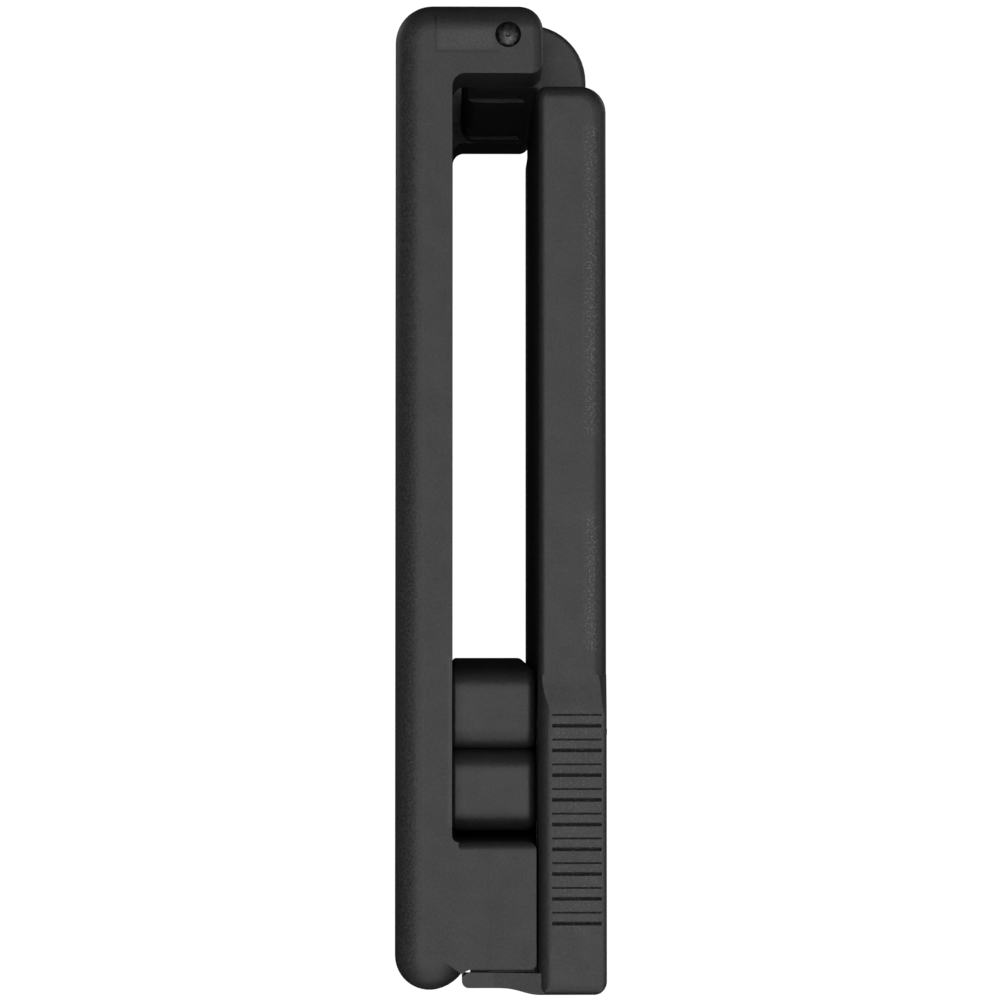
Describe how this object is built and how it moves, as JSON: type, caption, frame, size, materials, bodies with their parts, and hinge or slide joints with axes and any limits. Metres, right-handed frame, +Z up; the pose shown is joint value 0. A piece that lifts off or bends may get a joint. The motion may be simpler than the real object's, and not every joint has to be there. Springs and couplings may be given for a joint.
{
  "type": "hinged belt clip buckle",
  "caption": "Black moulded belt clip buckle: a C-shaped plate frame closed by a hinged lever with ribbed squeeze tabs, with removable belt-width spacers.",
  "frame": {"origin": "centre of the plate's flat outer face, midway across the width; height zero is set by the spacers and holes, close to mid-height", "axes": "+X from the plate through the belt towards the lever, along the part's thickness; +Y across the width; +Z up towards the hinge, along the part's length"},
  "size_m": [0.0162, 0.0486, 0.0763],
  "materials": {
    "frame_plastic": "fine spark-eroded matt black nylon",
    "lever_plastic": "fine spark-eroded matt black nylon, lightly scuffed",
    "spacer_plastic": "smooth matt black nylon",
    "pin_steel": "blackened steel with a worn dome",
    "screw_steel": "black oxide steel"
  },
  "bodies": {
    "frame": {"main_frame": "frame_plastic", "hinge_pin": "pin_steel", "upper_spacer": "spacer_plastic", "lower_spacer": "spacer_plastic", "upper_spacer_screws": "screw_steel", "lower_spacer_screws": "screw_steel"},
    "lever": {"clamp_lever": "lever_plastic"},
    "left_tab": {"release_tab_left": "lever_plastic"},
    "right_tab": {"release_tab_right": "lever_plastic"}
  },
  "joints": [
    {"name": "lever_hinge", "type": "hinge", "parent": "frame", "child": "lever", "pos_m": [0.0087, 0, 0.0359], "axis": [0, -1, 0], "range_deg": [0, 130]},
    {"name": "left_tab_squeeze", "type": "hinge", "parent": "lever", "child": "left_tab", "pos_m": [0.0135, -0.0214, -0.0172], "axis": [1, 0, 0], "range_deg": [0, 6], "stiffness_Nm_per_rad": 0.8},
    {"name": "right_tab_squeeze", "type": "hinge", "parent": "lever", "child": "right_tab", "pos_m": [0.0135, 0.0214, -0.0172], "axis": [-1, 0, 0], "range_deg": [0, 6], "stiffness_Nm_per_rad": 0.8}
  ]
}
